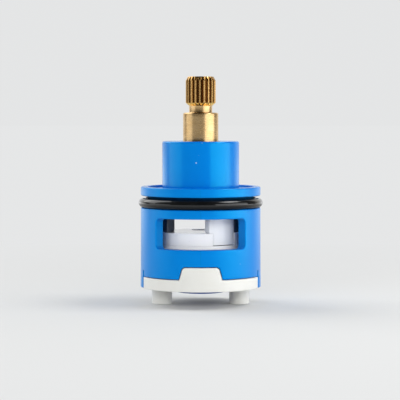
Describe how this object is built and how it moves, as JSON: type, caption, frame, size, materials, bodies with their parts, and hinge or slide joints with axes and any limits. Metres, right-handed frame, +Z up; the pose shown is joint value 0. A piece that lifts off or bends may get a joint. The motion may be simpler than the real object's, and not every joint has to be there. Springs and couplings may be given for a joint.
{
  "type": "diverter cartridge",
  "caption": "Ceramic disc diverter cartridge for a shower valve: a splined stem turns a disc that sends water from side windows to either of its base ports.",
  "frame": {"origin": "on the turning axis, level with the foot of the two locating pins", "axes": "+Z up the turning axis, towards the spline; +X through the locating pins; -Y out of the front window"},
  "size_m": [0.0332, 0.0332, 0.0608],
  "materials": {
    "housing_blue": "moulded acetal, satin",
    "black_rubber": "moulded rubber, lightly greased",
    "stem_brass": "turned, with a rolled spline",
    "slip_white": "slip plastic, plain",
    "driver_white": "moulded, satin",
    "stop_charcoal": "glass-filled plastic, satin",
    "disc_ceramic": "ground and lapped",
    "seal_blue": "moulded silicone rubber",
    "sleeve_steel": "drawn",
    "base_white": "moulded, satin"
  },
  "bodies": {
    "cartridge": {"housing": "housing_blue", "body_o_ring": "black_rubber", "thrust_washer": "slip_white", "driver_washer": "slip_white", "stop_ring": "stop_charcoal", "fixed_disc": "disc_ceramic", "disc_seal_front": "seal_blue", "disc_seal_back": "seal_blue", "seal_sleeve_front": "sleeve_steel", "seal_sleeve_back": "sleeve_steel", "base": "base_white", "port_gasket": "seal_blue"},
    "selector": {"stem": "stem_brass", "stem_o_ring_upper": "black_rubber", "stem_o_ring_lower": "black_rubber", "driver": "driver_white", "rotating_disc": "disc_ceramic"}
  },
  "joints": [
    {"name": "stem_turn", "type": "hinge", "parent": "cartridge", "child": "selector", "pos_m": [0, 0, 0.035], "axis": [0, 0, 1], "range_deg": [-70, 0]}
  ]
}
